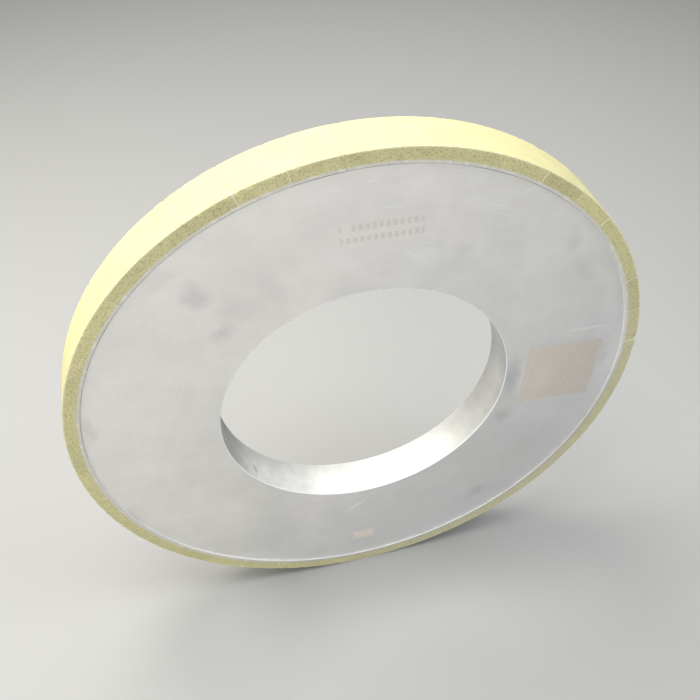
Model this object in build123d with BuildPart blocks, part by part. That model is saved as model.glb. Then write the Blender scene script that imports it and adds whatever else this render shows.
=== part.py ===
from build123d import *

import os

# Straight diamond grinding wheel: an aluminium core with a large bore, and a rim of bonded diamond
# segments. Millimetres, +Z up. The origin is the wheel's centre and the wheel's axis is Y.
# The marked front side faces -Y. Angles run anticlockwise from +X, seen from the front.

# Driving dimensions: the wheel
wheel_diameter = 400.0
bore_diameter = 203.2
rim_width = 32.0

# Driving dimensions: the rim
segment_count = 40
diamond_depth = 8.3
backing_depth = 1.7
rim_edge_chamfer = 0.4

# Driving dimensions: the core
core_recess = 1.5
bore_edge_chamfer = 0.5
core_edge_chamfer = 0.3

# Driving dimensions: the epoxy
core_bond_thickness = 0.8
joint_arc = 0.12
bond_set_back = 0.2

# Radii, from the rim inwards
wheel_radius = wheel_diameter / 2
diamond_inner_radius = wheel_radius - diamond_depth
backing_inner_radius = diamond_inner_radius - backing_depth
core_radius = backing_inner_radius - core_bond_thickness
bore_radius = bore_diameter / 2

# Planes along the axis: Plane.XZ faces -Y, so a positive offset moves towards the front
rim_front = rim_width / 2
core_front = rim_front - core_recess
core_width = rim_width - 2 * core_recess
bond_width = rim_width - 2 * bond_set_back

# Angles round the rim: the middle of the first segment is at angle zero
pitch = 360 / segment_count
segment_arc = pitch - joint_arc
segment_starts = [number * pitch - segment_arc / 2 for number in range(segment_count)]
joint_starts = [start + segment_arc for start in segment_starts]

# The wheel's axis, pointing out of the front, so that positive turns are anticlockwise there
front_axis = Axis((0, 0, 0), (0, -1, 0))


def radial_plane(angle):
    """A plane through the wheel's axis. Its x runs outwards at this angle, and its y along +Y."""
    return Plane.XY.rotated((0, -angle, 0))


os.makedirs("parts", exist_ok=True)

# Core: a flat ring, narrower than the rim by the same step on both sides
with BuildPart() as core_body:
    with BuildSketch(Plane.XZ.offset(core_front)):
        Circle(core_radius)
        Circle(bore_radius, mode=Mode.SUBTRACT)
    extrude(amount=-core_width)
    circles = core_body.edges().filter_by(GeomType.CIRCLE).group_by(SortBy.RADIUS)
    chamfer(circles[0], bore_edge_chamfer)
    chamfer(circles[-1], core_edge_chamfer)
core_body.part.label = "core_body"
export_step(core_body.part, "parts/core_body.step")

# Epoxy ring between the core and the segments, a little below the rim's side faces
with BuildPart() as core_bond:
    with BuildSketch(Plane.XZ.offset(bond_width / 2)):
        Circle(backing_inner_radius)
        Circle(core_radius, mode=Mode.SUBTRACT)
    extrude(amount=-bond_width)
core_bond.part.label = "core_bond"
export_step(core_bond.part, "parts/core_bond.step")

# Backing layers: one plain layer without diamond under each segment
with BuildPart() as segment_backings:
    with BuildSketch(*[radial_plane(start) for start in segment_starts]):
        with Locations((backing_inner_radius + backing_depth / 2, 0)):
            Rectangle(backing_depth, rim_width)
    revolve(axis=front_axis, revolution_arc=segment_arc)
segment_backings.part.label = "segment_backings"
export_step(segment_backings.part, "parts/segment_backings.step")

# Epoxy joints between neighbouring segments, set back from the rim's outer surfaces
joint_depth = wheel_radius - bond_set_back - backing_inner_radius
with BuildPart() as joint_bonds:
    with BuildSketch(*[radial_plane(start) for start in joint_starts]):
        with Locations((backing_inner_radius + joint_depth / 2, 0)):
            Rectangle(joint_depth, bond_width)
    revolve(axis=front_axis, revolution_arc=joint_arc)
joint_bonds.part.label = "joint_bonds"
export_step(joint_bonds.part, "parts/joint_bonds.step")

# Diamond layers: the abrasive blocks, with their two outer edges chamfered
for number, start in enumerate(segment_starts, start=1):
    with BuildPart() as abrasive_segment:
        with BuildSketch(radial_plane(start)) as section:
            with Locations((diamond_inner_radius + diamond_depth / 2, 0)):
                Rectangle(diamond_depth, rim_width)
            chamfer(section.vertices().group_by(Axis.X)[-1], rim_edge_chamfer)
        revolve(axis=front_axis, revolution_arc=segment_arc)
    abrasive_segment.part.label = f"abrasive_segment_{number:02d}"
    export_step(abrasive_segment.part, f"parts/abrasive_segment_{number:02d}.step")
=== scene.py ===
import math

import bpy
import numpy as np
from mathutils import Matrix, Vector, noise


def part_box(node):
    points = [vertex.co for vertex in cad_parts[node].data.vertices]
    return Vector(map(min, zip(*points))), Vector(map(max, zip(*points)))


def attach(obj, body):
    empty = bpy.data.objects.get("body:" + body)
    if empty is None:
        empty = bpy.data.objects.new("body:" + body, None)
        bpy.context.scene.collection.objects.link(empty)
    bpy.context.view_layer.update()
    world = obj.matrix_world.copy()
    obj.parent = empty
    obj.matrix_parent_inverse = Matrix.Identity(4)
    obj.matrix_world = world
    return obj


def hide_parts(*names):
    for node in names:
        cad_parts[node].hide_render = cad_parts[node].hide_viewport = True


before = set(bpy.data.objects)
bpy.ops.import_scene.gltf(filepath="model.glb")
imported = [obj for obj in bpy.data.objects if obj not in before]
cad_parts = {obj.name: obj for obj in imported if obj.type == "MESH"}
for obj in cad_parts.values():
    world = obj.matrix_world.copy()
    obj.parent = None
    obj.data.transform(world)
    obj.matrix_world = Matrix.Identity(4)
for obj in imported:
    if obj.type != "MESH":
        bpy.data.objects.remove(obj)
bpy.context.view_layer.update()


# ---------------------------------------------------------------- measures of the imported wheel
# Metres. The axis is Y, the marked front faces -Y, and angles run anticlockwise from +X, seen
# from the front.

def node_radii(name):
    """The inner and outer radius of a CAD node that lies round the axis."""
    places = np.array([vertex.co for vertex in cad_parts[name].data.vertices])
    radii = np.hypot(places[:, 0], places[:, 2])
    return float(radii.min()), float(radii.max())


SEGMENT_NAMES = sorted(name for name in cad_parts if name.startswith("abrasive_segment_"))
SEGMENT_COUNT = len(SEGMENT_NAMES)
PITCH = 2 * math.pi / SEGMENT_COUNT
WHEEL_RADIUS = node_radii(SEGMENT_NAMES[0])[1]
DIAMOND_INNER = node_radii(SEGMENT_NAMES[0])[0]
BACKING_INNER = node_radii("segment_backings")[0]
BORE_RADIUS, CORE_RADIUS = node_radii("core_body")
RIM_FRONT, RIM_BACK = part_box(SEGMENT_NAMES[0])[0].y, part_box(SEGMENT_NAMES[0])[1].y
CORE_FRONT, CORE_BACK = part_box("core_body")[0].y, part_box("core_body")[1].y
FLOOR_HEIGHT = -WHEEL_RADIUS

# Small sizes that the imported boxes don't give
JOINT_WIDTH = 0.00042
RIM_CHAMFER = 0.0002
BORE_CHAMFER = 0.0005
CORE_CHAMFER = 0.0003

# How fine the meshes are: the longest step between points along a section, in metres, and the
# columns of points round the whole wheel
CORE_STEP = 0.006
BLOCK_STEP = 0.0007
BACKING_STEP = 0.0010
JOINT_STEP = 0.0008
CORE_COLUMNS = 1080
BOND_COLUMNS = 1440

# How far the diamond blocks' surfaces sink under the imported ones, in metres: all over, at each
# grain, in soft swells, and towards the worn edges and the ends of each block. The ground rim
# keeps only a share of the grains and swells.
BLOCK_SINK = 0.00004
GRAIN_SINK = 0.00007
SWELL_SINK = 0.00003
EDGE_SINK, EDGE_REACH = 0.00016, 0.0007
END_SINK, END_REACH = 0.00012, 0.0006
GROUND_SHARE = 0.4
CHIP_DEPTH = 0.0006
FRONT_CHIP_DEPTH = 0.0011
# The same for the backings and the joints: all over, and at each point
BACKING_SINK, BACKING_GRAIN_SINK = 0.00003, 0.00007
JOINT_GRAIN_SINK = 0.00003
# How far a joint's adhesive spills over each edge: at least, and more where it is clean
LEAST_SPILL, CLEAN_SPILL = 0.00002, 0.00012
# The core bond's fillet on the core's front face and its sag under the rim: least and added
LEAST_FILLET, WIPED_FILLET = 0.00020, 0.00030
LEAST_SAG, UNEVEN_SAG = 0.00006, 0.00008

# What differs from segment to segment, by number, anticlockwise from +X. Joint n lies between
# segment n and segment n + 1, and shows by how clean and pale it is.
SEGMENT_TONES = {
    2: 0.90, 6: 0.87, 8: 0.95, 9: 0.94, 10: 0.94, 11: 0.97, 12: 1.0, 13: 0.92, 14: 0.97,
    16: 1.03, 17: 1.03, 25: 0.94, 36: 0.92, 38: 0.96,
}
SEGMENT_WARMTH = {35: 0.15, 36: 0.50}
JOINT_SHOWS = {
    0: 1.0, 1: 0.25, 2: 0.8, 3: 0.5, 4: 0.8, 5: 0.5, 6: 0.8, 7: 0.2, 11: 0.75, 12: 0.6, 13: 0.3,
    17: 0.3, 20: 0.25, 21: 0.3, 22: 0.35, 23: 0.4, 24: 0.4, 26: 0.7, 27: 0.6, 35: 0.2, 36: 0.35,
}
JOINT_SHOWS_ELSEWHERE = 0.05
# Half the extra width of the adhesive at a joint's front corner, where it fills a chip
FILLED_CHIPS = {0: 0.0018, 12: 0.0008, 26: 0.0006}
FILLED_REACH = 0.0020
# The larger chips on the rim's front edge, by segment: angle in degrees and size in metres
FRONT_CHIPS = {
    1: [(5.6, 0.0030)],
    11: [(101.8, 0.0016)],
    12: [(106.6, 0.0018), (109.4, 0.0022), (111.6, 0.0026)],
    13: [(113.4, 0.0026), (115.6, 0.0020), (118.2, 0.0016)],
}

# Where the core's bond was wiped into the corner, where a painted shadow darkens its front edge
# over the top of the wheel, and where its wall is painted paler as if lit, over the lower right
WIPED_MIDDLE = math.radians(9)
WIPED_HALF_ARC = math.radians(16)
# The painted shadow of the step on the bond's front edge, over the top of the wheel
STEP_SHADOW_MIDDLE = math.radians(112)
STEP_SHADOW_HALF_ARC = math.radians(78)
STEP_SHADOW_RAMP = math.radians(25)
# The painted light on the bond's wall, an arc over the lower right where the wall faces the light
LIT_WALL_MIDDLE = math.radians(298)
LIT_WALL_HALF_ARC = math.radians(60)
LIT_WALL_RAMP = math.radians(18)

# Grey smears in the bore: angle in degrees, place along Y in metres, half sizes in wheel radii,
# strength
BORE_SMEARS = [
    (-151, -0.0105, 0.012, 0.022, 0.7),
    (-144, -0.0060, 0.014, 0.034, 1.0),
    (-168, -0.0040, 0.060, 0.040, 0.5),
    (-2, 0.0050, 0.070, 0.034, 0.6),
    (-36, 0.0020, 0.050, 0.025, 0.35),
    (17, -0.0010, 0.030, 0.060, 0.4),
]

# Marks on the core's front face, hand marks and one broad painted shade over the lower right: x, z,
# half width and half height in wheel radii, turn in degrees, and the strength of the weaker ones
HAND_MARKS_AND_SHADE = [
    (-0.520, 0.604, 0.052, 0.060, -20),
    (-0.600, 0.674, 0.120, 0.045, 20, 0.4),
    (-0.420, 0.523, 0.070, 0.080, 0, 0.4),
    (-0.460, 0.433, 0.070, 0.035, 20, 0.9),
    (-0.058, 0.513, 0.130, 0.050, 0, 0.3),
    (0.283, 0.594, 0.060, 0.070, 0, 0.5),
    (0.650, 0.574, 0.040, 0.090, 12),
    (0.715, 0.453, 0.050, 0.080, 30, 0.8),
    (0.534, -0.019, 0.050, 0.125, 0),
    (0.519, -0.210, 0.060, 0.070, -10),
    (0.479, -0.682, 0.060, 0.055, 40),
    # A broad painted shade over the lower right of the face
    (0.504, -0.511, 0.600, 0.300, -42, 0.5),
    (-0.500, -0.400, 0.300, 0.220, -45, 0.3),
    (0.303, -0.742, 0.240, 0.090, 15, 0.2),
    (0.665, -0.431, 0.120, 0.180, -35, 0.5),
    (0.806, 0.092, 0.050, 0.100, 0, 0.5),
    (0.052, -0.933, 0.240, 0.035, 3, 0.3),
    (-0.922, 0.112, 0.030, 0.090, 0, 0.7),
    (-0.861, -0.380, 0.035, 0.080, 20, 0.7),
    (-0.299, 0.574, 0.070, 0.120, 20, 0.4),
    (0.879, 0.021, 0.016, 0.120, 0, 0.6),
]
DEEP_MARKS = [
    (0.530, -0.010, 0.045, 0.150, 0),
    (0.525, -0.215, 0.050, 0.050, -30, 0.6),
    (0.480, -0.680, 0.045, 0.040, 40, 0.6),
]
RUBBED_STREAKS = [
    (-0.510, -0.441, 0.070, 0.075, 30),
    (-0.500, -0.541, 0.030, 0.075, 0),
    (-0.560, -0.390, 0.100, 0.050, -30),
    (-0.711, -0.170, 0.028, 0.080, 15),
    (-0.771, -0.109, 0.035, 0.060, 30),
    (-0.741, -0.611, 0.080, 0.040, -45),
    (-0.098, 0.644, 0.090, 0.060, -30),
    (0.143, 0.614, 0.080, 0.075, 0),
    (0.223, 0.463, 0.060, 0.060, 30),
    (0.765, 0.433, 0.035, 0.085, 30),
    (0.836, 0.323, 0.040, 0.130, 20),
    (0.921, 0.011, 0.030, 0.200, 0),
    (0.600, 0.450, 0.400, 0.400, 0),
    (0.050, -0.900, 0.800, 0.300, 0),
]
RUBBED_STRENGTH = 0.40
BROAD_SCRAPE = (-0.042, -0.601, 0.078, 0.0110, 33)
STRAIGHT_SCRAPE = (0.787, 0.173, 0.080, 0.0060, -1)
SCRATCHES = [
    (-0.008, 0.899, 0.032, 0.0035, 0),
    (0.062, 0.805, 0.060, 0.0024, -2),
    (0.153, 0.604, 0.070, 0.0036, -42),
    (0.113, 0.634, 0.045, 0.0028, -42),
    (0.072, 0.654, 0.035, 0.0026, -38),
    (0.303, 0.794, 0.110, 0.0026, -18),
    (0.384, 0.754, 0.090, 0.0024, -24),
    (0.414, 0.714, 0.070, 0.0024, -27),
    (0.605, 0.122, 0.014, 0.0065, -45),
    (-0.359, 0.794, 0.060, 0.0022, 25),
    (-0.620, 0.192, 0.090, 0.0022, 70),
    (-0.299, -0.752, 0.080, 0.0022, -20),
    (0.313, -0.611, 0.060, 0.0022, 50),
]
# The ghost of a square label with its halo, its smooth strip and its paler edges, and a small tag
LABEL = (0.722, -0.027, 0.150, 0.149, -2.5)
LABEL_HALO = (0.733, -0.015, 0.165, 0.163, -2.5)
LABEL_STRIP = (0.660, -0.039, 0.060, 0.150, -12)
LABEL_EDGES = [
    (0.576, -0.019, 0.0060, 0.160, 0.0),
    (0.705, -0.171, 0.150, 0.0050, -3.0, 0.7),
    (0.864, 0.021, 0.0040, 0.100, 2.0, 0.5),
]
TAG = (-0.007, -0.815, 0.049, 0.027, -2.0)
# Two rows of plain bars, in wheel radii: each row's height and start, with the seed that drops a
# few bars; the pitch of the bars; and the panel that bounds a row, half a row from its start
BAR_ROWS = [(0.751, -0.103, 3.0), (0.710, -0.098, 5.0)]
BAR_PITCH = 0.0205
ROW_HALF_LENGTH = 0.131
PANEL_HALF_LENGTH = 0.142
PANEL_HALF_HEIGHT = 0.0110
DROPPED_BARS = 0.08

# The camera, from the middle of the rim's front plane
CAMERA_LENS_MM = 42.12
CAMERA_SENSOR_MM = 36.0
CAMERA_PLACE_IN_RADII = (-0.5265, -1.8036, 2.127)
CAMERA_TILT = math.radians(45.248)
CAMERA_TURN = math.radians(-14.338)

FLOOR_HALF_WIDTH = 4.0
FLOOR_COLOUR = (0.30, 0.30, 0.295, 1)
WORLD_COLOUR = (0.96, 0.98, 1.0, 1)
WORLD_STRENGTH = 0.32

# Soft lights that point at the wheel's middle: place and width in metres, watts, colour
WHEEL_MIDDLE = (0, 0, 0)
WARM, NEUTRAL, COOL = (1.0, 0.97, 0.90), (1.0, 1.0, 1.0), (0.80, 0.88, 1.0)
LIGHTS = [
    ("left", (-0.95, 0.35, 0.80), 0.6, 12.3, WARM),
    ("top_front", (-0.30, -0.15, 1.25), 0.6, 12.6, WARM),
    ("top_back", (-0.25, 0.60, 1.25), 0.6, 13.5, WARM),
    ("right", (0.75, -0.30, 1.10), 0.6, 7.0, COOL),
    ("front", (0.0, -1.50, 0.50), 0.9, 10.8, NEUTRAL),
    ("left_front", (-0.95, -0.60, 0.45), 0.6, 3.8, NEUTRAL),
    ("back", (0.60, 0.90, 0.90), 0.9, 4.4, NEUTRAL),
]

random = np.random.default_rng(11)


# ---------------------------------------------------------------- mesh helpers

def perlin(places, size, seed):
    """Smooth noise, about -1 to 1, at each place, with features about size metres across."""
    shift = Vector((13.7, 5.3, 9.1)) * seed
    return np.array([noise.noise(Vector(place) / size + shift) for place in places.tolist()])


def around(angles, radii, depths):
    """Row coordinates of points given by angle, radius and depth along Y."""
    flat = np.broadcast_arrays(radii * np.cos(angles), depths, radii * np.sin(angles))
    return np.stack(flat, axis=-1)


def from_angle(angles, middle):
    """How far each angle lies from a middle one, from -pi to pi."""
    return np.angle(np.exp(1j * (angles - middle)))


def arc_share(angles, middle, half_arc, ramp):
    """1 along an arc and 0 outside it, with a straight ramp inside each end."""
    return np.clip((half_arc - np.abs(from_angle(angles, middle))) / ramp, 0, 1)


def bell(distance, reach):
    """1 at no distance, falling smoothly towards 0 past the reach."""
    return np.exp(-np.square(distance / reach))


def section_loop(corners, step):
    """A closed loop of (radius, y) points through the corners, at most step apart."""
    loop = []
    for here, there in zip(corners, corners[1:] + corners[:1]):
        count = max(1, math.ceil(math.dist(here, there) / step))
        for index in range(count):
            share = index / count
            loop.append([a + (b - a) * share for a, b in zip(here, there)])
    return np.array(loop)


def loop_normals(loop):
    """The outward normal of each point of a loop that runs anticlockwise in (radius, y)."""
    along = np.roll(loop, -1, axis=0) - np.roll(loop, 1, axis=0)
    along /= np.linalg.norm(along, axis=1, keepdims=True)
    return np.stack([along[:, 1], -along[:, 0]], axis=-1)


def tube_faces(columns, rows, start=0, closed=False):
    """Faces of a tube whose section is a closed loop of rows points, swept over the columns."""
    faces = []
    for column in range(columns if closed else columns - 1):
        here = start + column * rows
        there = start + (column + 1) % columns * rows
        for row in range(rows):
            after = (row + 1) % rows
            faces.append((here + row, here + after, there + after, there + row))
    if not closed:
        last = start + (columns - 1) * rows
        faces.append(tuple(start + row for row in range(rows))[::-1])
        faces.append(tuple(last + row for row in range(rows)))
    return faces


def add_piece(name, places, faces, replaced, materials):
    """A mesh piece in place of a CAD node, riding on the wheel's one body."""
    mesh = bpy.data.meshes.new(name)
    mesh.from_pydata(places.reshape(-1, 3).tolist(), [], faces)
    for material in materials:
        mesh.materials.append(material)
    piece = bpy.data.objects.new(name, mesh)
    bpy.context.scene.collection.objects.link(piece)
    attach(piece, "root")
    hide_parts(replaced)
    return piece


def set_attribute(piece, name, values):
    """A number at each vertex, which the material reads."""
    attribute = piece.data.attributes.new(name, "FLOAT", "POINT")
    attribute.data.foreach_set("value", np.ravel(values).astype(np.float32))


def shade_smooth(piece, degrees):
    """Smooth shading, with edges sharper than the angle kept crisp."""
    with bpy.context.temp_override(object=piece, selected_editable_objects=[piece]):
        bpy.ops.object.shade_smooth_by_angle(angle=math.radians(degrees))


# ---------------------------------------------------------------- shader helpers

class Shader:
    """A new material with a Principled shader, and short calls for the nodes that feed it."""

    def __init__(self, name, **constants):
        self.material = bpy.data.materials.new(name)
        self.material.use_nodes = True
        self.tree = self.material.node_tree
        self.surface = self.tree.nodes["Principled BSDF"]
        for socket, value in constants.items():
            self.surface.inputs[socket.replace("_", " ")].default_value = value
        self.place = self.node("ShaderNodeTexCoord").outputs["Object"]
        parts = self.node("ShaderNodeSeparateXYZ", {0: self.place})
        self.x, self.y, self.z = parts.outputs
        squares = self.maths("ADD", self.square(self.x), self.square(self.z))
        self.radius = self.maths("SQRT", squares)
        self.angle = self.maths("ARCTAN2", self.z, self.x)

    def node(self, kind, inputs=None, **settings):
        """A node with its properties set and its sockets linked or given values."""
        made = self.tree.nodes.new(kind)
        for name, value in settings.items():
            setattr(made, name, value)
        for socket, value in (inputs or {}).items():
            if isinstance(value, bpy.types.NodeSocket):
                self.tree.links.new(value, made.inputs[socket])
            else:
                made.inputs[socket].default_value = value
        return made

    def maths(self, operation, *values):
        """One step of arithmetic on numbers."""
        return self.node("ShaderNodeMath", dict(enumerate(values)), operation=operation).outputs[0]

    def vector(self, operation, inputs, output="Vector"):
        """One step of arithmetic on places."""
        return self.node("ShaderNodeVectorMath", inputs, operation=operation).outputs[output]

    def square(self, value):
        return self.maths("MULTIPLY", value, value)

    def point(self, x, y, z):
        return self.node("ShaderNodeCombineXYZ", {0: x, 1: y, 2: z}).outputs[0]

    def fade(self, value, start, end, low=0.0, high=1.0):
        """low before start and high past end, with a soft step between."""
        inputs = {0: value, 1: start, 2: end, 3: low, 4: high}
        made = self.node("ShaderNodeMapRange", inputs, interpolation_type="SMOOTHSTEP")
        return made.outputs[0]

    def spread(self, value, low, high, start=0.0, end=1.0):
        """start to end, straight and clamped, becomes low to high."""
        inputs = {0: value, 1: start, 2: end, 3: low, 4: high}
        return self.node("ShaderNodeMapRange", inputs).outputs[0]

    def cloud(self, size, detail=3.0, place=None, roughness=0.55):
        """Noise from about 0.25 to 0.75, with features about size metres across."""
        inputs = {
            "Vector": place or self.place,
            "Scale": 1 / size,
            "Detail": detail,
            "Roughness": roughness,
        }
        return self.node("ShaderNodeTexNoise", inputs).outputs["Fac"]

    def grains(self, size):
        """The distance from the middle of cells about size metres across."""
        inputs = {"Vector": self.place, "Scale": 1 / size}
        return self.node("ShaderNodeTexVoronoi", inputs).outputs["Distance"]

    def attribute(self, name):
        """A number that the mesh carries at each vertex."""
        return self.node("ShaderNodeAttribute", attribute_name=name).outputs["Fac"]

    def wavy(self, size, amount, place=None):
        """The place, pushed about so that marks drawn with it get uneven edges."""
        inputs = {"Vector": self.place, "Scale": 1 / size, "Detail": 3.0}
        push = self.node("ShaderNodeTexNoise", inputs).outputs["Color"]
        centred = self.vector("SUBTRACT", {0: push, 1: (0.5, 0.5, 0.5)})
        scaled = self.vector("SCALE", {0: centred, "Scale": amount})
        return self.vector("ADD", {0: place or self.place, 1: scaled})

    def stretched(self, place, degrees, scale):
        """The place, scaled and then turned in the plane of the side faces, so that noise drawn
        with it runs one way."""
        inputs = {"Vector": place, "Rotation": (0, math.radians(degrees), 0), "Scale": scale}
        return self.node("ShaderNodeMapping", inputs).outputs[0]

    def toward(self, degrees, start, end):
        """A soft change from 0 to 1 across the wheel, towards an angle. The change starts and ends
        at these distances from the axis, in wheel radii."""
        turn = math.radians(degrees)
        across = self.maths("MULTIPLY", self.x, math.cos(turn))
        up = self.maths("MULTIPLY", self.z, math.sin(turn))
        return self.fade(self.maths("ADD", across, up), start * WHEEL_RADIUS, end * WHEEL_RADIUS)

    def local(self, x, z, half_width, half_height, turn, place=None):
        """Places on a side face, as a share of a mark's half width and half height from its middle.
        The middle and the sizes are in wheel radii, and turn is anticlockwise in degrees."""
        inputs = {
            "Vector": place or self.place,
            "Location": (x * WHEEL_RADIUS, 0, z * WHEEL_RADIUS),
            "Rotation": (0, -math.radians(turn), 0),
            "Scale": (half_width * WHEEL_RADIUS, 1, half_height * WHEEL_RADIUS),
        }
        return self.node("ShaderNodeMapping", inputs, vector_type="TEXTURE").outputs[0]

    def spot(self, x, z, half_width, half_height, turn=0.0, place=None, hardness=0.0):
        """1 inside an oval mark and 0 outside it."""
        local = self.local(x, z, half_width, half_height, turn, place)
        reach = self.vector("LENGTH", {0: local}, "Value")
        return self.fade(reach, hardness, 1.0, 1.0, 0.0)

    def panel(self, x, z, half_width, half_height, turn, place, hardness):
        """1 inside a rectangular mark and 0 outside it."""
        local = self.local(x, z, half_width, half_height, turn, place)
        flat = self.vector("ABSOLUTE", {0: local})
        across, _, up = self.node("ShaderNodeSeparateXYZ", {0: flat}).outputs
        return self.fade(self.maths("MAXIMUM", across, up), hardness, 1.0, 1.0, 0.0)

    def total(self, shares):
        """The sum of several marks, held at 1."""
        result = shares[0]
        for share in shares[1:]:
            result = self.maths("ADD", result, share)
        return self.maths("MINIMUM", result, 1.0)

    def marks(self, table, place=None, hardness=0.0):
        """The sum of a table of oval marks. A mark's sixth number, if it has one, weakens it."""
        spots = []
        for x, z, half_width, half_height, turn, *strength in table:
            spot = self.spot(x, z, half_width, half_height, turn, place, hardness)
            spots.append(self.times(spot, *strength))
        return self.total(spots)

    def times(self, *shares):
        """The product of several shares."""
        result = shares[0]
        for share in shares[1:]:
            result = self.maths("MULTIPLY", result, share)
        return result

    def mix(self, share, first, second, blend="MIX"):
        """A colour between two, by share."""
        inputs = {0: share, 6: first, 7: second}
        made = self.node("ShaderNodeMix", inputs, data_type="RGBA", blend_type=blend)
        return made.outputs[2]

    def two_tone(self, cloud, dark, light, half_run):
        """A colour that goes from dark to light as a cloud goes from half_run below its middle,
        0.5, to half_run above it."""
        return self.mix(self.spread(cloud, 0.0, 1.0, 0.5 - half_run, 0.5 + half_run), dark, light)

    def uneven(self, colour, cloud, amount):
        """A colour made darker or lighter by up to a share of itself, as a cloud goes."""
        return self.tint(colour, self.spread(cloud, 1 - amount, 1 + amount, 0.3, 0.7))

    def tint(self, colour, factor):
        """A colour made lighter or darker by a factor."""
        grey = self.node("ShaderNodeCombineColor", {0: factor, 1: factor, 2: factor}).outputs[0]
        return self.mix(1.0, colour, grey, "MULTIPLY")

    def bump(self, height, distance):
        """A normal for relief that stands up to distance metres."""
        inputs = {"Height": height, "Distance": distance, "Strength": 1.0}
        return self.node("ShaderNodeBump", inputs).outputs[0]

    def finish(self, colour, roughness, normal):
        """Link what varies over the surface to the Principled shader."""
        self.tree.links.new(colour, self.surface.inputs["Base Color"])
        self.tree.links.new(roughness, self.surface.inputs["Roughness"])
        self.tree.links.new(normal, self.surface.inputs["Normal"])
        return self.material


# ---------------------------------------------------------------- materials

def shaded_to_lower_right(shader, colour):
    """Painted shade: the colour turned to a dull grey towards the lower right."""
    lower_right_shade_grey = (0.36, 0.35, 0.31, 1)
    return shader.mix(shader.times(shader.toward(-60, 0.2, 0.8), 0.8), colour, lower_right_shade_grey)


def diamond_material():
    """Vitrified diamond layer: fine pale olive grains with darker pores, smoother where the rim
    was ground, a tone of its own for each segment, paler worn edges, and painted shade towards the
    lower right."""
    shader = Shader("diamond_abrasive", IOR=1.45, Specular_IOR_Level=0.3)
    on_side = shader.fade(shader.radius, WHEEL_RADIUS - 0.0012, WHEEL_RADIUS - 0.0002, 1.0, 0.35)
    grain = shader.grains(0.0008)
    fine = shader.cloud(0.00055, detail=3.0, roughness=0.7)
    medium = shader.cloud(0.0016, detail=2.0)
    patches = shader.cloud(0.016, detail=2.0)
    light, dark = (0.57, 0.535, 0.30, 1), (0.385, 0.36, 0.185, 1)
    flecks, pore_colour = (0.52, 0.49, 0.25, 1), (0.26, 0.24, 0.13, 1)
    warm, dust_and_shade, worn = (0.50, 0.43, 0.29, 1), (0.42, 0.41, 0.35, 1), (0.70, 0.68, 0.52, 1)
    fine_share = shader.spread(fine, -0.5, 0.5, 0.33, 0.67)
    fine_share = shader.maths("ADD", shader.times(fine_share, on_side), 0.5)
    colour = shader.mix(fine_share, dark, light)
    colour = shader.mix(shader.times(shader.fade(medium, 0.45, 0.62), 0.45), colour, flecks)
    pores = shader.fade(grain, 0.55, 0.75)
    colour = shader.mix(shader.times(pores, on_side, on_side, 0.6), colour, pore_colour)
    colour = shader.uneven(colour, patches, 0.05)
    colour = shader.tint(colour, shader.spread(on_side, 1.0, shader.attribute("tone"), 0.35, 1.0))
    colour = shader.mix(shader.attribute("warmth"), colour, warm)
    # Painted shade: a duller grey towards the lower right
    colour = shader.mix(shader.times(shader.toward(-40, 0.2, 0.9), 0.34), colour, dust_and_shade)
    from_middle = shader.maths("ABSOLUTE", shader.y)
    on_edge = shader.fade(from_middle, RIM_BACK - 0.0006, RIM_BACK - 0.0002)
    colour = shader.mix(shader.times(shader.attribute("wear"), on_edge), colour, worn)
    roughness = shader.spread(fine, 0.78, 0.95)
    height = shader.times(shader.maths("SUBTRACT", fine, pores), on_side)
    return shader.finish(colour, roughness, shader.bump(height, 0.00007))


def backing_material():
    """Plain vitrified layer under the diamond: pale grey and fine, with soft lighter patches, and
    painted shade towards the lower right.
    """
    shader = Shader("backing_ceramic", IOR=1.45, Specular_IOR_Level=0.3)
    fine = shader.cloud(0.0008, detail=3.0, roughness=0.65)
    patches = shader.cloud(0.006, detail=3.0)
    light, dark = (0.53, 0.51, 0.455, 1), (0.42, 0.405, 0.35, 1)
    patch_colour = (0.61, 0.595, 0.55, 1)
    colour = shader.two_tone(fine, dark, light, 0.2)
    colour = shader.mix(shader.fade(patches, 0.52, 0.66, 0.0, 0.6), colour, patch_colour)
    # Painted shade towards the lower right
    colour = shaded_to_lower_right(shader, colour)
    return shader.finish(colour, shader.spread(fine, 0.7, 0.9), shader.bump(fine, 0.00006))


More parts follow.
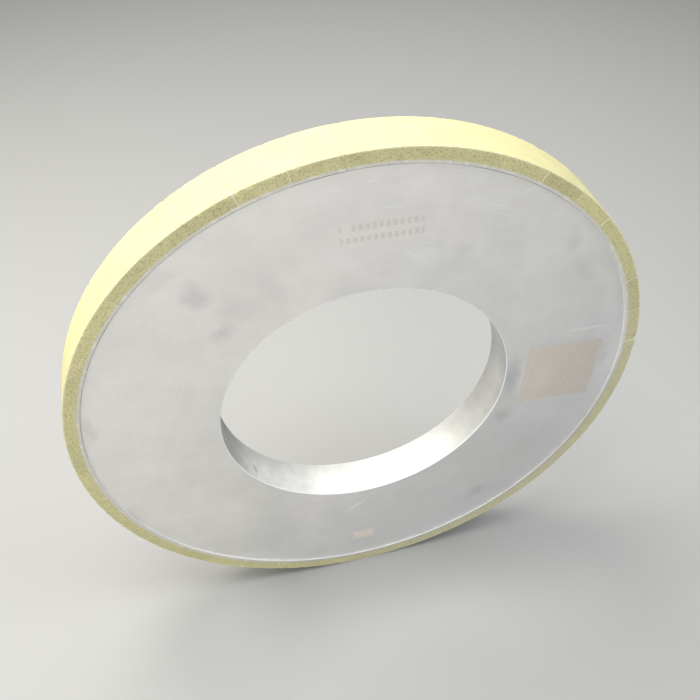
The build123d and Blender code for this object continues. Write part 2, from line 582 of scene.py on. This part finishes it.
def core_bond_material():
    """The adhesive round the core: grey and flush like the layer beside it, with painted shade
    towards the lower right, a painted shadow along its inner front edge over the top of the wheel,
    and a wall down to the core's face that is painted paler as if lit over the lower right, with
    painted shade at its foot there."""
    shader = Shader("core_epoxy", IOR=1.5, Specular_IOR_Level=0.4)
    streaks = shader.cloud(0.003, detail=4.0)
    round_wall = shader.point(shader.maths("MULTIPLY", shader.angle, CORE_RADIUS), 0.0, 0.0)
    dashes = shader.cloud(0.014, detail=2.0, place=round_wall)
    light, dark = (0.52, 0.505, 0.46, 1), (0.43, 0.415, 0.375, 1)
    plain_wall, painted_lit_wall = (0.50, 0.495, 0.475, 1), (0.60, 0.595, 0.58, 1)
    plain_base, shaded_base = (0.60, 0.595, 0.58, 1), (0.34, 0.34, 0.335, 1)
    smeared, step_shadow_colour = (0.64, 0.635, 0.615, 1), (0.09, 0.09, 0.105, 1)
    # Painted shade towards the lower right
    colour = shaded_to_lower_right(shader, shader.two_tone(streaks, dark, light, 0.2))
    pale = shader.times(shader.attribute("pale"), shader.spread(dashes, 0.55, 1.0, 0.38, 0.62))
    from_middle = shader.maths("ABSOLUTE", shader.y)
    on_wall = shader.fade(from_middle, RIM_BACK - 0.00030, RIM_BACK - 0.00015, 1.0, 0.0)
    # Painted light: the wall is paler over the lower right, in dashes
    colour = shader.mix(on_wall, colour, shader.mix(pale, plain_wall, painted_lit_wall))
    at_base = shader.fade(shader.y, CORE_FRONT - 0.00100, CORE_FRONT - 0.00060)
    # Painted shade at the foot of the wall, in the same lower-right arc
    colour = shader.mix(at_base, colour, shader.mix(pale, plain_base, shaded_base))
    colour = shader.mix(shader.attribute("wiped"), colour, smeared)
    at_edge = shader.fade(shader.y, RIM_FRONT + 0.00055, RIM_FRONT + 0.00080, 1.0, 0.0)
    inner = shader.fade(shader.radius, CORE_RADIUS + 0.00030, CORE_RADIUS + 0.00050, 1.0, 0.0)
    # Painted shadow of the step along the bond's inner front edge, over the top of the wheel
    colour = shader.mix(shader.times(shader.attribute("step_shadow"), at_edge, inner), colour, step_shadow_colour)
    roughness = shader.spread(streaks, 0.45, 0.65)
    return shader.finish(colour, roughness, shader.bump(streaks, 0.00004))


def joint_bond_material():
    """The pale adhesive between the segments: clean in some joints, and dusty with the wheel's
    own grit in the others and on the ground rim."""
    shader = Shader("joint_epoxy", IOR=1.5, Specular_IOR_Level=0.35)
    streaks = shader.cloud(0.0025, detail=4.0)
    dust = shader.cloud(0.0008, detail=3.0, roughness=0.65)
    pale, pale_light = (0.56, 0.54, 0.40, 1), (0.75, 0.73, 0.59, 1)
    olive, olive_light = (0.38, 0.36, 0.19, 1), (0.53, 0.50, 0.29, 1)
    backing_grey = (0.45, 0.435, 0.40, 1)
    clean = shader.two_tone(streaks, pale, pale_light, 0.2)
    dust_and_shade = shader.two_tone(dust, olive, olive_light, 0.14)
    backed = shader.fade(shader.radius, DIAMOND_INNER - 0.0003, DIAMOND_INNER + 0.0003, 1.0, 0.0)
    dust_and_shade = shader.mix(backed, dust_and_shade, backing_grey)
    off_rim = shader.fade(shader.radius, WHEEL_RADIUS - 0.0014, WHEEL_RADIUS - 0.0006, 1.0, 0.0)
    clean_off_rim = shader.times(shader.attribute("clean"), off_rim)
    clean_share = shader.total([clean_off_rim, shader.attribute("filled")])
    colour = shader.mix(clean_share, dust_and_shade, clean)
    roughness = shader.spread(streaks, 0.55, 0.75)
    return shader.finish(colour, roughness, shader.bump(dust, 0.00005))


def face_streaks(shader):
    """Light rubbed streaks and scratches on the front face."""
    broad = shader.marks(RUBBED_STREAKS, shader.wavy(0.014, 0.014))
    return shader.total([
        shader.times(broad, RUBBED_STRENGTH),
        shader.spot(*BROAD_SCRAPE, None, 0.2),
        shader.times(shader.panel(*STRAIGHT_SCRAPE, None, 0.5), 0.8),
        shader.marks(SCRATCHES),
    ])


def etched_bars(shader):
    """Two rows of short plain bars, pale and shallow, in place of a maker's marking."""
    rows = []
    for height, start, seed in BAR_ROWS:
        from_start = shader.maths("SUBTRACT", shader.x, start * WHEEL_RADIUS)
        along = shader.maths("DIVIDE", from_start, BAR_PITCH * WHEEL_RADIUS)
        cell = shader.maths("FLOOR", along)
        inside = shader.maths("SUBTRACT", along, cell)
        after_start = shader.fade(inside, 0.10, 0.22)
        before_end = shader.fade(inside, 0.68, 0.80, 1.0, 0.0)
        seeded = {"W": shader.maths("ADD", cell, seed)}
        chance = shader.node("ShaderNodeTexWhiteNoise", seeded, noise_dimensions="1D")
        present = shader.maths("GREATER_THAN", chance.outputs["Value"], DROPPED_BARS)
        middle = start + ROW_HALF_LENGTH
        row = shader.panel(middle, height, PANEL_HALF_LENGTH, PANEL_HALF_HEIGHT, 0.0, None, 0.8)
        rows.append(shader.times(after_start, before_end, present, row))
    return shader.total(rows)


def ground_metal(shader, clouds, fine, arcs):
    """Bare ground aluminium: cloudy, with turning arcs and rubbed bands, with painted shade, cooler
    and darker, towards the lower right and painted light, warmer and brighter, towards the upper
    left."""
    mottle = shader.cloud(0.018, detail=5.0, roughness=0.6)
    banded_place = shader.stretched(shader.wavy(0.060, 0.030), -35, (0.22, 1, 1))
    bands = shader.cloud(0.0060, detail=4.0, place=banded_place, roughness=0.6)
    dark, light = (0.77, 0.765, 0.745, 1), (0.825, 0.81, 0.785, 1)
    painted_cool_shade, warm = (0.655, 0.66, 0.715, 1), (0.875, 0.845, 0.81, 1)
    colour = shader.two_tone(clouds, dark, light, 0.15)
    for cloud, amount in ((mottle, 0.035), (fine, 0.035), (arcs, 0.015), (bands, 0.015)):
        colour = shader.uneven(colour, cloud, amount)
    # Painted shade towards the lower right, then painted light towards the upper left
    colour = shader.mix(shader.times(shader.toward(-35, -0.1, 0.8), 0.42), colour, painted_cool_shade)
    return shader.mix(shader.times(shader.toward(150, 0.0, 0.9), 0.35), colour, warm)


def handled(shader, colour, front):
    """The colour with the front face's hand marks, a broad painted shade over its lower right,
    deeper smudges and light streaks.
    """
    smudge_and_shade_grey, deep_smudged = (0.655, 0.65, 0.64, 1), (0.50, 0.51, 0.54, 1)
    rubbed = (0.90, 0.90, 0.885, 1)
    hand_marks_and_shade = shader.marks(HAND_MARKS_AND_SHADE, shader.wavy(0.020, 0.022))
    colour = shader.mix(shader.times(hand_marks_and_shade, front, 0.75), colour, smudge_and_shade_grey)
    deep = shader.marks(DEEP_MARKS, shader.wavy(0.012, 0.012))
    colour = shader.mix(shader.times(deep, front, 0.50), colour, deep_smudged)
    return shader.mix(shader.times(face_streaks(shader), front, 0.75), colour, rubbed)


def label_paper(shader):
    """Blank worn paper with a coarse weave, darker towards its right."""
    weave_place = shader.stretched(shader.place, 50, (1, 1, 0.35))
    weave = shader.cloud(0.0016, detail=4.0, place=weave_place, roughness=0.65)
    dark, light = (0.69, 0.63, 0.56, 1), (0.755, 0.705, 0.64, 1)
    paper = shader.two_tone(weave, dark, light, 0.14)
    left, right = 0.60 * WHEEL_RADIUS, 0.85 * WHEEL_RADIUS
    return shader.tint(paper, shader.spread(shader.x, 1.04, 0.92, left, right))


def labelled(shader, colour, front, label, uneven_place):
    """The colour with the blank ghost of a square label and a small blank tag."""
    halo_grey, smooth_paper = (0.60, 0.61, 0.64, 1), (0.80, 0.755, 0.70, 1)
    edge_cream, tag_cream = (0.86, 0.83, 0.77, 1), (0.95, 0.87, 0.785, 1)
    halo = shader.panel(*LABEL_HALO, uneven_place, 0.80)
    colour = shader.mix(shader.times(halo, front, 0.22), colour, halo_grey)
    faded = shader.spread(shader.cloud(0.010, detail=4.0), 0.70, 1.0, 0.35, 0.65)
    colour = shader.mix(shader.times(label, front, faded), colour, label_paper(shader))
    strip = shader.spot(*LABEL_STRIP, uneven_place)
    colour = shader.mix(shader.times(label, front, strip, 0.4), colour, smooth_paper)
    edges = shader.marks(LABEL_EDGES, None, 0.2)
    colour = shader.mix(shader.times(edges, front, 0.7), colour, edge_cream)
    tag = shader.panel(*TAG, uneven_place, 0.80)
    return shader.mix(shader.times(tag, front, 0.85), colour, tag_cream)


def aluminium_face_material():
    """The core's ground side faces: satin and cloudy, with faint turning marks, painted shade
    towards the lower right and painted light towards the upper left. The front one also has hand
    marks, a broad painted shade over its lower right, rubbed streaks, a shallow etched marking and
    the ghost of a label."""
    shader = Shader("aluminium_face", Metallic=1.0)
    front = shader.maths("LESS_THAN", shader.y, 0.0)
    clouds = shader.cloud(0.060, detail=3.0)
    fine = shader.cloud(0.0011, detail=3.0, roughness=0.7)
    along_arc = shader.maths("MULTIPLY", shader.angle, 0.010)
    arcs = shader.cloud(0.0011, detail=2.0, place=shader.point(shader.radius, along_arc, shader.y))
    uneven_place = shader.wavy(0.004, 0.0022)
    label = shader.panel(*LABEL, uneven_place, 0.90)
    bars = shader.times(etched_bars(shader), front)
    bar_colour = (0.62, 0.59, 0.53, 1)

    colour = ground_metal(shader, clouds, fine, arcs)
    colour = handled(shader, colour, front)
    colour = labelled(shader, colour, front, label, uneven_place)
    colour = shader.mix(shader.times(bars, 0.45), colour, bar_colour)

    roughness = shader.spread(clouds, 0.50, 0.56, 0.3, 0.7)
    roughness = shader.maths("ADD", roughness, shader.times(label, front, 0.06))
    height = shader.maths("ADD", shader.maths("MULTIPLY", arcs, 0.6), fine)
    height = shader.maths("SUBTRACT", height, shader.times(bars, 1.5))
    return shader.finish(colour, roughness, shader.bump(height, 0.00002))


def bore_smears(shader):
    """Grey smears on the bored wall, drawn on it unrolled."""
    around_bore = shader.maths("MULTIPLY", shader.angle, BORE_RADIUS)
    unrolled = shader.wavy(0.008, 0.006, shader.point(around_bore, 0.0, shader.y))
    table = []
    for degrees, depth, half_arc, half_depth, strength in BORE_SMEARS:
        along = math.radians(degrees) * BORE_RADIUS / WHEEL_RADIUS
        table.append((along, depth / WHEEL_RADIUS, half_arc, half_depth, 0.0, strength))
    return shader.marks(table, unrolled)


def aluminium_bore_material():
    """The bored wall and its edges: satin, with marks that run round it, painted shade towards the
    back and the two sides, a few grey smears, and a painted highlight on the chamfers."""
    shader = Shader("aluminium_bore", Metallic=1.0)
    along_mark = shader.maths("MULTIPLY", shader.angle, 0.02)
    marks = shader.cloud(0.0009, detail=3.0, place=shader.point(along_mark, shader.y, 0.0))
    clouds = shader.cloud(0.018, detail=3.0)
    fine = shader.cloud(0.0011, detail=3.0, roughness=0.7)
    mottle = shader.cloud(0.006, detail=4.0, roughness=0.6)
    dark, light = (0.73, 0.735, 0.715, 1), (0.84, 0.835, 0.81, 1)
    smeared, painted_chamfer_highlight = (0.50, 0.50, 0.52, 1), (0.93, 0.93, 0.92, 1)
    colour = shader.two_tone(clouds, dark, light, 0.2)
    for cloud, amount in ((mottle, 0.04), (marks, 0.05), (fine, 0.025)):
        colour = shader.uneven(colour, cloud, amount)
    across = shader.maths("DIVIDE", shader.x, WHEEL_RADIUS)
    # Painted shade: darker towards the back of the bore, and towards its left and right ends
    colour = shader.tint(colour, shader.fade(shader.y, -0.006, 0.014, 1.0, 0.86))
    colour = shader.tint(colour, shader.fade(across, -0.505, -0.40, 0.52, 0.92))
    colour = shader.tint(colour, shader.fade(across, 0.18, 0.50, 1.0, 0.74))
    colour = shader.mix(bore_smears(shader), colour, smeared)
    # Painted highlight on the bore's chamfers
    on_chamfer = shader.fade(shader.radius, BORE_RADIUS + 0.00005, BORE_RADIUS + 0.0002)
    colour = shader.mix(on_chamfer, colour, painted_chamfer_highlight)
    roughness = shader.spread(marks, 0.72, 0.82, 0.3, 0.7)
    return shader.finish(colour, roughness, shader.bump(marks, 0.00002))


# ---------------------------------------------------------------- pieces

def make_core(face_material, bore_material):
    """The aluminium ring, with its chamfered edges."""
    corners = [
        (BORE_RADIUS + BORE_CHAMFER, CORE_FRONT),
        (CORE_RADIUS - CORE_CHAMFER, CORE_FRONT),
        (CORE_RADIUS, CORE_FRONT + CORE_CHAMFER),
        (CORE_RADIUS, CORE_BACK - CORE_CHAMFER),
        (CORE_RADIUS - CORE_CHAMFER, CORE_BACK),
        (BORE_RADIUS + BORE_CHAMFER, CORE_BACK),
        (BORE_RADIUS, CORE_BACK - BORE_CHAMFER),
        (BORE_RADIUS, CORE_FRONT + BORE_CHAMFER),
    ]
    loop = section_loop(corners, CORE_STEP)
    angles = np.repeat(np.arange(CORE_COLUMNS) * 2 * math.pi / CORE_COLUMNS, len(loop))
    radii, depths = np.tile(loop, (CORE_COLUMNS, 1)).T
    places = around(angles, radii, depths)
    piece = add_piece(
        "core_ring", places, tube_faces(CORE_COLUMNS, len(loop), closed=True),
        "core_body", [face_material, bore_material],
    )
    for polygon in piece.data.polygons:
        x, _, z = polygon.center
        polygon.material_index = int(math.hypot(x, z) < BORE_RADIUS + BORE_CHAMFER)
    shade_smooth(piece, 30)
    return piece


def rim_section(inner_radius, outer_radius, chamfer, step):
    """The closed (radius, y) loop of a rim layer, with its two outer edges chamfered."""
    corners = [
        (inner_radius, RIM_FRONT),
        (outer_radius - chamfer, RIM_FRONT),
        (outer_radius, RIM_FRONT + chamfer),
        (outer_radius, RIM_BACK - chamfer),
        (outer_radius - chamfer, RIM_BACK),
        (inner_radius, RIM_BACK),
    ]
    return section_loop(corners, step)


def chip(places, chip_place, chip_size, chip_depth):
    """The sink of one chip, deepest in its middle."""
    reach = np.linalg.norm(places - chip_place, axis=1)
    return chip_depth * np.clip(1 - reach / chip_size, 0, 1)


def random_chips(places, middle, half_arc):
    """The sink of a few small chips along the block's two outer edges."""
    sink = 0
    for _ in range(random.integers(2, 5)):
        chip_angle = middle + random.uniform(-1, 1) * half_arc
        chip_depth = random.choice([RIM_FRONT, RIM_BACK])
        chip_size = random.uniform(0.0006, 0.0016)
        sink += chip(places, around(chip_angle, WHEEL_RADIUS, chip_depth), chip_size, CHIP_DEPTH)
    return sink


def make_segment(name, number, material):
    """One diamond block: a rough ground surface, worn edges and a few chips."""
    middle = number * PITCH
    tone = SEGMENT_TONES.get(number, 1 + 0.03 * random.uniform(-1, 1))
    loop = rim_section(DIAMOND_INNER, WHEEL_RADIUS, RIM_CHAMFER, BLOCK_STEP)
    half_arc = PITCH / 2 - JOINT_WIDTH / 2 / WHEEL_RADIUS
    columns = math.ceil(2 * half_arc * WHEEL_RADIUS / BLOCK_STEP)
    angles = np.repeat(middle + np.linspace(-half_arc, half_arc, columns), len(loop))
    radii, depths = np.tile(loop, (columns, 1)).T
    places = around(angles, radii, depths)

    edge = np.minimum(RIM_BACK - depths, depths - RIM_FRONT) + WHEEL_RADIUS - radii
    near_edge = bell(edge, EDGE_REACH)
    grain = random.random(len(radii))
    relief = GRAIN_SINK * grain + SWELL_SINK * perlin(places, 0.004, 1)
    roughness = np.where(radii > WHEEL_RADIUS - BLOCK_STEP / 2, GROUND_SHARE, 1.0)
    sink = BLOCK_SINK + relief * roughness + EDGE_SINK * near_edge * grain
    end_distance = (half_arc - np.abs(angles - middle)) * WHEEL_RADIUS
    sink += END_SINK * bell(end_distance, END_REACH)
    sink += random_chips(places, middle, half_arc)
    for degrees, chip_size in FRONT_CHIPS.get(number, []):
        chip_place = around(math.radians(degrees), WHEEL_RADIUS, RIM_FRONT)
        sink += chip(places, chip_place, chip_size, FRONT_CHIP_DEPTH)
    on_backing = radii < DIAMOND_INNER + BLOCK_STEP / 2
    sink[on_backing] = 0

    moved = np.tile(loop_normals(loop), (columns, 1)) * sink[:, None]
    places = around(angles, radii - moved[:, 0], depths - moved[:, 1])
    piece = add_piece(
        name.replace("abrasive_segment", "diamond_block"), places, tube_faces(columns, len(loop)),
        name, [material],
    )
    set_attribute(piece, "tone", np.full(len(radii), tone))
    set_attribute(piece, "warmth", np.full(len(radii), SEGMENT_WARMTH.get(number, 0.0)))
    set_attribute(piece, "wear", near_edge * (0.25 + 0.5 * grain))
    shade_smooth(piece, 60)
    return piece


def make_backings(material):
    """The plain layers under the diamond blocks, as one mesh of separate blocks."""
    loop = rim_section(BACKING_INNER, DIAMOND_INNER, 0.0, BACKING_STEP)
    half_arc = PITCH / 2 - JOINT_WIDTH / 2 / WHEEL_RADIUS
    columns = math.ceil(2 * half_arc * BACKING_INNER / BACKING_STEP)
    places, faces = [], []
    for number in range(SEGMENT_COUNT):
        angles = number * PITCH + np.linspace(-half_arc, half_arc, columns)
        radii, depths = np.tile(loop, (columns, 1)).T
        side = np.sign(depths) * (np.abs(depths) > RIM_BACK - BACKING_STEP / 2)
        depths = depths - side * (BACKING_SINK + BACKING_GRAIN_SINK * random.random(len(radii)))
        faces += tube_faces(columns, len(loop), start=number * columns * len(loop))
        places.append(around(np.repeat(angles, len(loop)), radii, depths))
    piece = add_piece(
        "backing_layers", np.concatenate(places), faces,
        "segment_backings", [material],
    )
    shade_smooth(piece, 50)
    return piece


def bond_section(fillet, sag):
    """The bond ring's (radius, y) section all round the wheel. It sags a little below the rim, and
    has a fillet at the core's front face and a small even one at the back."""
    corner = 0.00012
    under_edge = 0.0012
    rows = [
        (BACKING_INNER, RIM_FRONT + sag),
        (CORE_RADIUS + corner, RIM_FRONT + sag),
        (CORE_RADIUS, RIM_FRONT + corner + sag),
        (CORE_RADIUS - 0.00001, CORE_FRONT - fillet),
        (CORE_RADIUS - 0.35 * fillet, CORE_FRONT - 0.4 * fillet),
        (CORE_RADIUS - fillet - CORE_CHAMFER, CORE_FRONT + 0.00001),
        (CORE_RADIUS - CORE_CHAMFER, CORE_FRONT + CORE_CHAMFER),
        (CORE_RADIUS, CORE_FRONT + under_edge),
        (CORE_RADIUS, CORE_BACK - under_edge),
        (CORE_RADIUS - CORE_CHAMFER, CORE_BACK - CORE_CHAMFER),
        (CORE_RADIUS - 0.00020 - CORE_CHAMFER, CORE_BACK - 0.00001),
        (CORE_RADIUS - 0.00007, CORE_BACK + 0.00008),
        (CORE_RADIUS - 0.00001, CORE_BACK + 0.00020),
        (CORE_RADIUS, RIM_BACK - corner - sag),
        (CORE_RADIUS + corner, RIM_BACK - sag),
        (BACKING_INNER, RIM_BACK - sag),
    ]
    return rows[::-1]


def make_core_bond(material):
    """The epoxy ring round the core: nearly flush with the rim, with a small fillet where its wall
    meets the core's faces, and wiped unevenly into the front corner on one side."""
    angles = np.arange(BOND_COLUMNS) * 2 * math.pi / BOND_COLUMNS
    circle = around(angles, CORE_RADIUS, 0.0)
    uneven = 0.5 + 0.5 * perlin(circle, 0.012, 2) + 0.35 * perlin(circle, 0.003, 3)
    wiped = bell(from_angle(angles, WIPED_MIDDLE), WIPED_HALF_ARC) * np.clip(0.3 + uneven, 0, 1)
    # Painted shadow of the step: an arc over the top of the wheel, uneven along its length
    step_shadow = arc_share(angles, STEP_SHADOW_MIDDLE, STEP_SHADOW_HALF_ARC, STEP_SHADOW_RAMP)
    step_shadow *= np.clip(0.70 + 0.6 * perlin(circle, 0.020, 4), 0.35, 1)
    # Painted light on the wall over the lower right, and painted shade at its foot there
    pale = arc_share(angles, LIT_WALL_MIDDLE, LIT_WALL_HALF_ARC, LIT_WALL_RAMP)
    fillet = LEAST_FILLET + WIPED_FILLET * wiped
    sag = LEAST_SAG + UNEVEN_SAG * np.clip(1 - uneven, 0, 1)
    rows = bond_section(fillet, sag)
    places = np.stack([around(angles, radii, depths) for radii, depths in rows], axis=1)
    piece = add_piece(
        "bond_ring", places, tube_faces(BOND_COLUMNS, len(rows), closed=True),
        "core_bond", [material],
    )
    for name, values in (("wiped", wiped), ("step_shadow", step_shadow), ("pale", pale)):
        set_attribute(piece, name, np.repeat(values, len(rows)))
    shade_smooth(piece, 40)
    return piece


def joint_half_width(number, loop, shows, at_corner):
    """Half the width of a joint's bead along its section: clean ones spill over their edges."""
    path = around((number + 0.5) * PITCH, loop[:, 0], loop[:, 1])
    spill = LEAST_SPILL + CLEAN_SPILL * shows
    ragged = np.clip(0.7 + perlin(path, 0.0025, number + 20), 0, 2)
    return JOINT_WIDTH / 2 + spill * ragged + FILLED_CHIPS.get(number, 0.0) * at_corner


def make_joint_bonds(material):
    """The epoxy joints: thin uneven beads that fill the gaps. The clean ones smear a little over
    their edges, and a few swell where they fill a chipped corner."""
    loop = rim_section(BACKING_INNER, WHEEL_RADIUS, RIM_CHAMFER, JOINT_STEP)
    normals = loop_normals(loop)
    across = np.array([-1.0, -0.6, 0.0, 0.6, 1.0])
    crown = np.array([0.00030, 0.00006, 0.00004, 0.00006, 0.00030])
    point_count = len(across) * len(loop)
    front_corner = np.hypot(WHEEL_RADIUS - loop[:, 0], loop[:, 1] - RIM_FRONT)
    at_corner = bell(front_corner, FILLED_REACH)
    places, faces, clean, filled = [], [], [], []
    for number in range(SEGMENT_COUNT):
        shows = JOINT_SHOWS.get(number, JOINT_SHOWS_ELSEWHERE)
        half_width = joint_half_width(number, loop, shows, at_corner)
        sink = crown[:, None] + JOINT_GRAIN_SINK * random.random(len(loop))
        radii = loop[:, 0] - normals[:, 0] * sink
        depths = loop[:, 1] - normals[:, 1] * sink
        angles = (number + 0.5) * PITCH + across[:, None] * half_width / WHEEL_RADIUS
        faces += tube_faces(len(across), len(loop), start=number * point_count)
        places.append(around(angles, radii, depths).reshape(-1, 3))
        clean.append(np.full(point_count, shows))
        filled.append(np.tile(at_corner * (number in FILLED_CHIPS), len(across)))
    piece = add_piece(
        "joint_beads", np.concatenate(places), faces, "joint_bonds", [material],
    )
    set_attribute(piece, "clean", np.concatenate(clean))
    set_attribute(piece, "filled", np.concatenate(filled))
    shade_smooth(piece, 40)
    return piece


make_core(aluminium_face_material(), aluminium_bore_material())
make_backings(backing_material())
make_core_bond(core_bond_material())
make_joint_bonds(joint_bond_material())
diamond = diamond_material()
for number, name in enumerate(SEGMENT_NAMES):
    make_segment(name, number, diamond)


# ---------------------------------------------------------------- floor, lights and camera

def make_floor():
    """A plain pale floor, far larger than the view."""
    half = FLOOR_HALF_WIDTH
    mesh = bpy.data.meshes.new("floor")
    corners = [(-half, -half), (half, -half), (half, half), (-half, half)]
    mesh.from_pydata([(x, y, FLOOR_HEIGHT) for x, y in corners], [], [(0, 1, 2, 3)])
    floor = bpy.data.objects.new("floor", mesh)
    bpy.context.scene.collection.objects.link(floor)
    material = bpy.data.materials.new("floor")
    material.use_nodes = True
    surface = material.node_tree.nodes["Principled BSDF"]
    surface.inputs["Base Color"].default_value = FLOOR_COLOUR
    surface.inputs["Roughness"].default_value = 0.9
    mesh.materials.append(material)


def add_area_light(name, place, size, watts, colour):
    """A square soft light that points at the wheel's middle."""
    data = bpy.data.lights.new(name, "AREA")
    data.energy = watts
    data.size = size
    data.color = colour
    light = bpy.data.objects.new(name, data)
    light.location = place
    toward_wheel = Vector(WHEEL_MIDDLE) - Vector(place)
    light.rotation_euler = toward_wheel.to_track_quat("-Z", "Y").to_euler()
    bpy.context.scene.collection.objects.link(light)


def set_world():
    """An even pale surround."""
    world = bpy.data.worlds.new("studio")
    world.use_nodes = True
    background = world.node_tree.nodes["Background"]
    background.inputs["Color"].default_value = WORLD_COLOUR
    background.inputs["Strength"].default_value = WORLD_STRENGTH
    bpy.context.scene.world = world


def set_camera():
    """The view of the wheel's front from above and a little to the left."""
    data = bpy.data.cameras.new("camera")
    data.lens = CAMERA_LENS_MM
    data.sensor_width = CAMERA_SENSOR_MM
    camera = bpy.data.objects.new("camera", data)
    rim_middle = Vector((0, RIM_FRONT, 0))
    camera.location = rim_middle + Vector(CAMERA_PLACE_IN_RADII) * WHEEL_RADIUS
    camera.rotation_euler = (CAMERA_TILT, 0, CAMERA_TURN)
    bpy.context.scene.collection.objects.link(camera)
    bpy.context.scene.camera = camera


make_floor()
set_world()
for light in LIGHTS:
    add_area_light(*light)
set_camera()
bpy.context.scene.view_settings.view_transform = "Standard"
